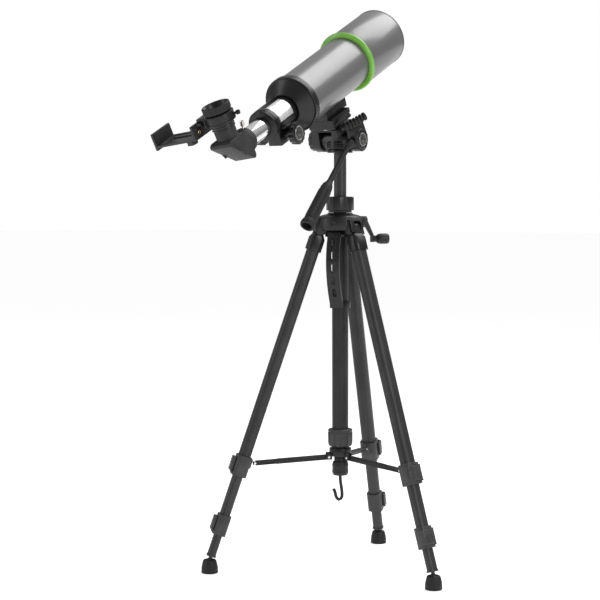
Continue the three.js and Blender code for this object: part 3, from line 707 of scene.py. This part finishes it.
push(handle, in_flute, 0.9, -0.6)
fitted(handle, handle_place, "handle", rubbery("handle_grip_rubber", 0.007), 0, 2, 40)
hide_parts("pan_handle")

# Camera platform and mounting shoe: the platform tips on its hinge, and a dovetail shoe moulded to the
# tube's curve is bolted to it through a ribbed rubber pad.
dressed("platform", head_plastic, 0.9, 3)
dressed("mount_shoe", head_plastic, 0.9, 3)
PLATFORM_TOP, RIB_LENGTH, RIB_STEP = 52, 7.9, 4
pad_rubber = rubbery("platform_pad_rubber", 0.012)
ribs = [block("pad_rib", (x, y, PLATFORM_TOP - 0.2), (x + RIB_LENGTH, y + 1.6, PLATFORM_TOP + 0.9))
        for x in (-21.5, 13.6) for y in range(-41, 10, RIB_STEP)]
fitted(merged("platform_pad", ribs), tilting, "optics", pad_rubber, 0.25)
lock_wheel = lathed("platform_screw_wheel", [
    (0, 31.4), (5.6, 31.4), (6.6, 32.0), (6.6, 35.0), (6.0, 35.8), (0, 35.8)], 48)
push(lock_wheel, lambda p, n: n.xy.length > 0.9 and int(math.degrees(math.atan2(p.y, p.x)) // 7.5) % 2, 0.0,
    -0.5)
fitted(lock_wheel, tilting @ moved(0, -30.0, 0), "optics", plated_pin, 0.1)

# Optical tube and dew shield: rolled aluminium in metallic grey gloss paint. Small cross-head screws hold
# the rear cell, and a green gloss ring covers the step between tube and shield.
optical = tilting @ moved(3, 51.4, 109.9)
down_tube = optical @ turned(-90, "X")


def metallic_paint(name, place, level=0.17):
    """Grey paint with fine flake under a clear coat, and the faint orange peel of a sprayed tube."""
    finish = Finish(name, place, Base_Color=grey(level), Metallic=0.5, Roughness=0.32, Coat_Weight=0.25,
                    Coat_Roughness=0.06, IOR=1.5)
    flake = finish.cells(5200)
    cloud = finish.noise(11, 3, 0.5)
    peel = finish.noise(420, 2, 0.5)
    color = finish.mix(finish.between(flake, 0.15, 0.75), grey(level * 1.18), grey(level * 0.88))
    color = finish.mix(finish.between(cloud, 0.3, 0.7) * 0.35, color, grey(level * 0.9, 0.01))
    dust = finish.between(finish.noise(900, 4, 0.7), 0.70, 0.74)
    color = finish.mix(dust * 0.25, color, grey(0.45))
    finish.feed(Base_Color=color, Roughness=finish.between(cloud + flake * 0.3, 0.3, 0.9, 0.26, 0.36))
    finish.relief(peel + flake * 0.08, 0.012)
    return finish.material


tube_paint = metallic_paint("grey_tube_paint", optical)
dressed("main_tube", tube_paint, 0)
dressed("dew_shield", tube_paint, 0.25)
ring_gloss = Finish("green_ring_gloss", optical, Base_Color=(0.145, 0.39, 0.045, 1), Roughness=0.26,
                    Coat_Weight=0.35, Coat_Roughness=0.05, IOR=1.5)
streaks = ring_gloss.noise(24, 4, 0.6)
specks = ring_gloss.noise(1600, 2, 0.6)
ring_gloss.feed(
    Base_Color=ring_gloss.mix(ring_gloss.between(streaks * 0.8 + specks * 0.2, 0.35, 0.65),
                              (0.120, 0.330, 0.036, 1), (0.170, 0.435, 0.055, 1)),
    Roughness=ring_gloss.between(streaks, 0.3, 0.7, 0.20, 0.30))
ring_gloss.relief(specks, 0.006)
green_ring = lathed("green_ring", [
    (44.0, 14.2), (47.6, 14.2), (49.4, 14.6), (50.8, 15.7), (51.6, 17.2), (51.8, 18.6), (51.6, 20.0),
    (50.8, 21.5),
    (49.4, 22.6), (47.6, 23.1), (44.0, 23.1), (44.0, 14.2)], 128)
fitted(green_ring, down_tube, "optics", ring_gloss.material, 0, 2, 40)
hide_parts("accent_ring")

shield_rim = lathed("shield_rim", [
    (47.2, 131.2), (49.45, 131.2), (49.6, 131.8), (49.6, 132.4), (49.2, 132.5), (47.6, 132.5), (47.2, 132.2),
    (47.2, 131.2)], 128)
fitted(shield_rim, down_tube, "optics", black_plastic, 0)


def cross_screw(name, place, radius=1.6):
    """A domed screw head with a cross sunk into it."""
    screw = lathed(name, [(0, -0.8), (radius, -0.8), (radius, 0.1), (radius * 0.86, 0.45),
        (radius * 0.5, 0.65),
                          (0, 0.7)], 24)

    def in_cross(p, n):
        return n.z > 0.5 and p.xy.length > 0.1 and p.xy.length < radius * 0.7 and (
            math.degrees(math.atan2(p.y, p.x)) % 90 < 15)

    push(screw, in_cross, 0, -0.3)
    fitted(screw, place, "optics", rivet_steel, 0)


TUBE_RADIUS, SCREWS_ALONG = 43.7, -153
for name, first in (("cell_screw", 270), ("rear_screw", 12)):
    for k in range(3):
        on_tube = down_tube @ turned(first + 120 * k, "Z") @ moved(TUBE_RADIUS, 0, SCREWS_ALONG)
        cross_screw(f"{name}_{k}", on_tube @ turned(90, "Y"))

# Objective: a coated lens in a black cell. A slotted ring holds the glass, and behind the shield's mouth
# a flocked sleeve with two baffle lips keeps stray light out.
glass = Finish("coated_glass", optical, Base_Color=(0.80, 0.92, 0.88, 1), Roughness=0.03, IOR=1.52,
               Transmission_Weight=0.92, Coat_Weight=0.6, Coat_Roughness=0.02)
sheen = glass.node("ShaderNodeLayerWeight", {"Blend": 0.35}, output="Facing")
haze = glass.noise(60, 4, 0.6)
glass.feed(Base_Color=glass.mix(sheen, (0.62, 0.90, 0.80, 1), (0.66, 0.58, 0.92, 1)),
           Roughness=glass.between(haze, 0.4, 0.8, 0.02, 0.06))
dressed("objective_lens", glass.material, 0)
flocking = Finish("black_flocking", optical, Base_Color=grey(0.006), Roughness=0.95)
fibres = flocking.noise(2600, 3, 0.7)
flocking.feed(Base_Color=flocking.mix(fibres, grey(0.003), grey(0.013)),
              Roughness=flocking.between(fibres, 0.2, 0.8, 0.86, 1.0))
flocking.relief(fibres, 0.12)
lining = lathed("shield_lining", [
    (43.95, 62.6), (47.4, 62.6), (47.4, 130.6), (46.9, 130.6), (46.9, 108.0), (44.9, 107.4), (44.9, 106.4),
    (46.9, 105.8),
    (46.9, 86.0), (44.4, 85.4), (44.4, 84.4), (46.9, 83.8), (46.9, 64.4), (43.95, 64.4), (43.95, 62.6)], 128)
fitted(lining, down_tube, "optics", flocking.material, 0)
lens_ring = lathed("lens_ring", [
    (34.6, 60.2), (42.6, 60.2), (43.6, 62.2), (43.6, 64.4), (42.4, 65.0), (40.4, 65.0), (39.6, 63.4),
    (36.8, 62.6),
    (35.2, 61.6), (34.6, 60.2)], 96)
push(lens_ring, lambda p, n: n.z > 0.6 and p.z > 64.9 and math.degrees(math.atan2(p.y, p.x)) % 60 < 7.6, 0.0,
    -0.9)
fitted(lens_ring, down_tube, "optics", black_plastic, 0)

# Rear cell and focuser: the black cone holds the housing, in which the chromed drawtube runs. A bright
# foil label wraps the housing beside its key rib, and a toothed rack lies along the drawtube's underside.
dressed("rear_cell", head_plastic, 0.4)
dressed("focuser_housing", head_plastic, 0.7, 3)
chrome = polished("drawtube_chrome", down_tube, 0.80, 0.0, 0.06)
dressed("drawtube", chrome, 0.2)
drawtube_lip = lathed("drawtube_lip", [
    (13.9, -204.4), (15.6, -204.4), (15.6, -203.6), (13.9, -203.6), (13.9, -204.4)], 96)
fitted(drawtube_lip, down_tube, "drawtube", chrome, 0)
rack = [block("rack_bed", (-1.7, -300, -15.6), (1.7, -262, -15.0))]
rack += [block("tooth", (-1.7, -299.4 + k * 1.6, -15.85), (1.7, -298.6 + k * 1.6, -15.4)) for k in range(23)]
fitted(merged("focuser_rack", rack), optical, "drawtube", black_plastic, 0)


def foil(name, place):
    """Bright self-adhesive foil: slightly crumpled, with a printed band of two greys and no lettering."""
    finish = Finish(name, place, Base_Color=grey(0.86), Metallic=0.7, Roughness=0.26, Coat_Weight=0.5)
    crumple = finish.noise(90, 3, 0.5)
    z = finish.split()[2]
    border = (z > -200.5 * MM) + (z < -237.5 * MM)
    color = finish.mix(finish.between(crumple, 0.35, 0.65), grey(0.80), grey(0.92))
    color = finish.mix(border, color, grey(0.30))
    finish.feed(Base_Color=color, Roughness=finish.between(crumple, 0.3, 0.7, 0.15, 0.30))
    finish.relief(crumple, 0.06)
    return finish.material


bpy.ops.object.select_all(action="DESELECT")
bpy.ops.mesh.primitive_plane_add(size=MM, location=Vector((22.6, 0, -219)) * MM, rotation=(math.radians(90),
    0, 0))
label = bpy.context.object
label.name = "focuser_label"
label.scale = (0.3, 41, 1)
bpy.ops.object.transform_apply()
bpy.ops.object.mode_set(mode="EDIT")
bpy.ops.mesh.spin(steps=30, angle=math.radians(90), center=(0, 0, 0), axis=(0, 0, 1))
faced_out()
label.data.transform(turned(2, "Z"))
fitted(label, down_tube, "optics", foil("label_foil", down_tube), 0)
ring_lines = merged("housing_rings", [lathed("band", [
    (24.6, s), (25.5, s + 0.2), (25.5, s + 1.0), (24.6, s + 1.2),
    (24.6, s)], 80) for s in (-256.6, -253.4, -250.2)])
fitted(ring_lines, down_tube, "optics", head_plastic, 0)
for k, x in enumerate((-8.5, 8.5)):
    cross_screw(f"pinion_screw_{k}", optical @ moved(x, -208, -41) @ turned(180, "X"), 1.7)
    cross_screw(f"pinion_screw_{k + 2}", optical @ moved(x, -232, -41) @ turned(180, "X"), 1.7)

# Focus wheels: a fluted black wheel is pressed on each end of the pinion shaft. A plain spun metal disc in
# a bezel is glued into its face, inside a low moulded rim.
dressed("focus_knobs", head_plastic, 0.7, 3)
PINION_ALONG, PINION_BELOW, WHEEL_FACE = -220, -27, 38
for side, name in ((1, "right_wheel"), (-1, "left_wheel")):
    wheel_place = optical @ moved(side * WHEEL_FACE, PINION_ALONG, PINION_BELOW) @ turned(side * 90, "Y")
    badge(name, 11.6, wheel_place, "focus")
    wheel_rim = lathed(name + "_rim", [
        (12.6, -0.3), (15.4, -0.3), (15.2, 0.5), (14.4, 0.9), (13.4, 0.9), (12.8, 0.5), (12.6, -0.3)], 72)
    fitted(wheel_rim, wheel_place, "focus", head_plastic, 0)

# Star diagonal: a moulded prism housing with a ribbed collar. A knurled nickel thumb-screw in the collar
# grips the drawtube.
star = optical @ turned(-7.5, "Y")
down_star = star @ turned(-90, "X")
diagonal_plastic = moulded("charcoal_prism_plastic", 0.016, 3400, 0.56)
dressed("diagonal", diagonal_plastic, 0.8, 3)
collar_ribs = []
for k in range(30):
    rib = block("collar_rib", (19.1, -0.8, -317), (20.0, 0.8, -306.5))
    rib.data.transform(turned(k * 12, "Z"))
    collar_ribs.append(rib)
fitted(merged("diagonal_collar_ribs", collar_ribs), down_star, "diagonal", diagonal_plastic,
    0.3)


def thumb_screw(name, radius, length, stem, teeth=20):
    """A knurled cylinder with a dished top on a thin stem, standing on Z = 0."""
    screw = lathed(name, [
        (0, -1.0), (stem, -1.0), (stem, length * 0.4), (radius - 0.4, length * 0.42), (radius, length * 0.48),
        (radius, length - 0.6), (radius - 0.5, length), (radius - 1.2, length), (radius - 1.6, length - 0.5),
        (0, length - 0.5)], teeth * 2)
    push(screw, lambda p, n: n.xy.length > 0.9 and p.xy.length > radius - 0.3 and (
        int(math.degrees(math.atan2(p.y, p.x)) % 360 // (180 / teeth)) % 2), 0, -0.28)
    return screw


nickel = polished("nickel_screw", None, 0.66, 0.05, 0.20, rings=False)
fitted(thumb_screw("drawtube_thumb_screw", 3.4, 13.5, 1.7), star @ turned(16, "Y") @ moved(0, -311.5, 19.6),
       "diagonal", nickel, 0)
side_plate = block("prism_side_plate", (19.0, -362.5, -12), (19.7, -325, 16))
choose(side_plate, lambda p, n: True, "verts")
for vert in bmesh.from_edit_mesh(side_plate.data).verts:
    at = vert.co / MM
    if at.z < 0:
        vert.co.y = (-331.5 if at.y > -340 else -345.5) * MM
    elif at.y > -340:
        vert.co.y = -325.5 * MM
bmesh.update_edit_mesh(side_plate.data)
bpy.ops.object.mode_set(mode="OBJECT")
twin_plate = copied(side_plate, "prism_side_plate_far")
for plate, mirror in ((side_plate, 1), (twin_plate, -1)):
    if mirror < 0:
        mirrored(plate, 0)
    fitted(plate, star, "diagonal", diagonal_plastic, 0.4)

# Eyepiece: a stepped barrel with ribbed bands, a soft eyecup round the eye lens, and two grooves cut in
# the barrel below the phone clamp.
looking = star @ moved(0, -346, 0)
dressed("eyepiece", black_plastic, 0.4)
barrel_bands = []
for z in (37.2, 41.0, 44.2):
    barrel_bands.append(lathed("band", [
        (17.4, z), (18.3, z + 0.1), (18.5, z + 0.6), (18.3, z + 1.3), (17.4, z + 1.4), (17.4, z)], 80))
fitted(merged("barrel_bands", barrel_bands), looking, "diagonal", black_plastic, 0)
cup_fold = lathed("eyecup_fold", [
    (20.9, 64.6), (21.9, 64.9), (22.3, 67.0), (22.1, 69.4), (22.4, 71.6), (22.2, 74.0), (21.3, 75.0),
    (20.4, 74.6),
    (20.5, 72.0), (20.9, 68.0), (20.9, 64.6)], 96)
fitted(cup_fold, looking, "diagonal", rubbery("eyecup_rubber", 0.007), 0)
eye_lens = lathed("eye_lens", [(0, 62.6), (9.4, 62.6), (9.4, 63.6), (8.0, 64.1), (5.0, 64.7), (2.5, 65.0),
    (0, 65.1)], 64)
fitted(eye_lens, looking, "diagonal", glass.material, 0)
lens_bezel = lathed("eye_lens_bezel", [
    (9.4, 62.4), (12.6, 62.6), (12.8, 63.4), (11.8, 64.2), (10.0, 64.2), (9.4, 63.6), (9.4, 62.4)], 64)
fitted(lens_bezel, looking, "diagonal", head_plastic, 0)

# Phone clamp and cradle: charcoal plastic. A ring squeezes the eyepiece with a small side screw, and the
# cradle's jaw slides out against foam pads. A brass insert in the panel takes a camera screw.
adapter_plastic = moulded("charcoal_adapter_plastic", 0.020, 3200, 0.42)
dressed("phone_clamp", black_plastic, 0.7, 3)
dressed("phone_cradle", adapter_plastic, 0.7, 3)
dressed("phone_jaw", adapter_plastic, 0.7, 3)
clamp_rings = merged("clamp_ring_bands", [lathed("band", [
    (22.5, z), (23.5, z + 0.2), (23.5, z + 1.4), (22.5, z + 1.6), (22.5, z)], 80) for z in (47.4, 58.6)])
fitted(clamp_rings, looking, "adapter", black_plastic, 0)
fitted(thumb_screw("clamp_thumb_screw", 3.6, 9.5, 2.2, 12), looking @ turned(24, "Z") @ moved(22.4, 0, 53.5)
       @ turned(90, "Y"), "adapter", black_plastic, 0)
brass = polished("brass_insert", None, 0.62, 0.42, 0.24, rings=False)
insert = lathed("brass_insert_ring", [
    (1.9, -0.8), (3.4, -0.8), (3.4, 0.35), (3.1, 0.55), (2.2, 0.55), (1.9, 0.3), (1.9, -0.8)], 40)
PANEL_FACE = -34.6
insert_place = looking @ moved(PANEL_FACE, -16, 42.6) @ turned(90, "Y")
fitted(insert, insert_place, "cradle", brass, 0)
# A black disc sunk in the insert's bore, darker than the charcoal panel, is painted shade standing for the dark
# depth of the threaded hole.
painted_hole_shade = lathed("brass_insert_core", [(0, -0.7), (1.9, -0.7), (1.9, -0.4), (0, -0.35)], 32)
fitted(painted_hole_shade, insert_place, "cradle", black_plastic, 0)
panel_frame = block("panel_frame", (PANEL_FACE - 0.2, -28.6, 37.4), (PANEL_FACE + 0.5, -10.2, 54.4))
push(panel_frame, lambda p, n: n.x > 0.9, 0.9, -0.35)
fitted(panel_frame, looking, "cradle", adapter_plastic, 0.2)


def foam(name):
    """Closed-cell foam rubber: dull black, with open pores the size of sand grains."""
    finish = Finish(name, Base_Color=grey(0.010), Roughness=0.9)
    pores = finish.cells(950)
    fuzz = finish.noise(2400, 3, 0.7)
    finish.feed(Base_Color=finish.mix(finish.between(pores, 0.1, 0.6), grey(0.004), grey(0.018)),
                Roughness=finish.between(fuzz, 0.3, 0.7, 0.82, 0.98))
    finish.relief(pores + fuzz * 0.4, 0.16)
    return finish.material


soft_black = foam("black_foam")
pads = {
    "jaw_pad": ("jaw", (-112.1, -28, 38.4), (-110.5, 15.4, 55)),
    "panel_pad": ("cradle", (-40.0, -28, 38.0), (-38.3, 15.4, 55)),
}
for name, (body, low_corner, high_corner) in pads.items():
    pad = block(name, low_corner, high_corner)
    push(pad, lambda p, n: abs(n.x) > 0.9, 1.4, 0.35)
    fitted(pad, looking, body, soft_black, 0.35)
lock_face = lathed("jaw_lock_face", [(0, -0.3), (6.2, -0.3), (6.2, 0.5), (5.4, 0.9), (3.4, 0.9), (3.0, 0.4),
    (0, 0.4)], 48)
fitted(lock_face, looking @ moved(-66, -2, 21) @ turned(180, "X"),
    "jaw", adapter_plastic, 0)

# Studio: a wide flat floor of white paper, three big soft lamps and a pale sky that is brighter above than
# at the horizon, with a long lens a little above the tripod's shoulder.
bpy.ops.object.select_all(action="DESELECT")
bpy.ops.mesh.primitive_plane_add(size=60, location=(0, 0, 0))
floor = bpy.context.object
floor.name = "studio_floor"
paper = Finish("white_paper", Base_Color=(0.86, 0.86, 0.86, 1), Roughness=0.9, Emission_Color=(1, 1, 1, 1),
               Emission_Strength=0.5)
clouding = paper.noise(3, 2, 0.5)
paper.feed(Base_Color=paper.mix(clouding, (0.84, 0.84, 0.84, 1), (0.88, 0.88, 0.88, 1)))
painted(floor, paper.material)

world = bpy.data.worlds.new("studio")
bpy.context.scene.world = world
world.use_nodes = True
sky = world.node_tree
heading = sky.nodes.new("ShaderNodeSeparateXYZ")
sky.links.new(sky.nodes.new("ShaderNodeTexCoord").outputs["Generated"], heading.inputs[0])
ceiling = sky.nodes.new("ShaderNodeMapRange")
for socket, value in {"From Min": -0.15, "From Max": 0.95, "To Min": 0.10, "To Max": 0.72}.items():
    ceiling.inputs[socket].default_value = value
sky.links.new(heading.outputs["Z"], ceiling.inputs["Value"])
seen = sky.nodes.new("ShaderNodeMapRange")
seen.inputs["To Max"].default_value = 1.0
sky.links.new(sky.nodes.new("ShaderNodeLightPath").outputs["Is Camera Ray"], seen.inputs["Value"])
sky.links.new(ceiling.outputs[0], seen.inputs["To Min"])
sky.links.new(seen.outputs[0], sky.nodes["Background"].inputs["Strength"])
sky.nodes["Background"].inputs["Color"].default_value = (1, 1, 1, 1)


def lamp(name, at, towards, size, power):
    light = bpy.data.lights.new(name, "AREA")
    light.shape, light.size, light.size_y, light.energy = "RECTANGLE", size[0], size[1], power
    obj = bpy.data.objects.new(name, light)
    bpy.context.scene.collection.objects.link(obj)
    obj.location = at
    obj.rotation_euler = (Vector(towards) - Vector(at)).to_track_quat("-Z", "Y").to_euler()


lamp("overhead", (0.5, 1.2, 2.75), (0, 0.1, 0.8), (1.8, 2.0), 46)
lamp("key", (2.6, -0.9, 1.5), (0, 0, 0.35), (0.8, 1.6), 30)
lamp("fill", (-1.9, -1.9, 1.3), (0, 0, 0.5), (0.8, 1.8), 16)

camera_data = bpy.data.cameras.new("studio_camera")
camera_data.lens, camera_data.sensor_width, camera_data.clip_end = 103.4, 36, 40
camera = bpy.data.objects.new("studio_camera", camera_data)
bpy.context.scene.collection.objects.link(camera)
CAMERA_AT = (1504.7, -2444.5, 611.9)
CAMERA_TURN, CAMERA_DOWN, CAMERA_ROLL = 32.95, 3.213, 0.12
camera.matrix_world = (upright @ moved(*CAMERA_AT) @ turned(CAMERA_TURN, "Z")
                       @ turned(90 - CAMERA_DOWN, "X") @ turned(-CAMERA_ROLL, "Z"))
bpy.context.scene.camera = camera
bpy.context.scene.view_settings.view_transform = "Standard"
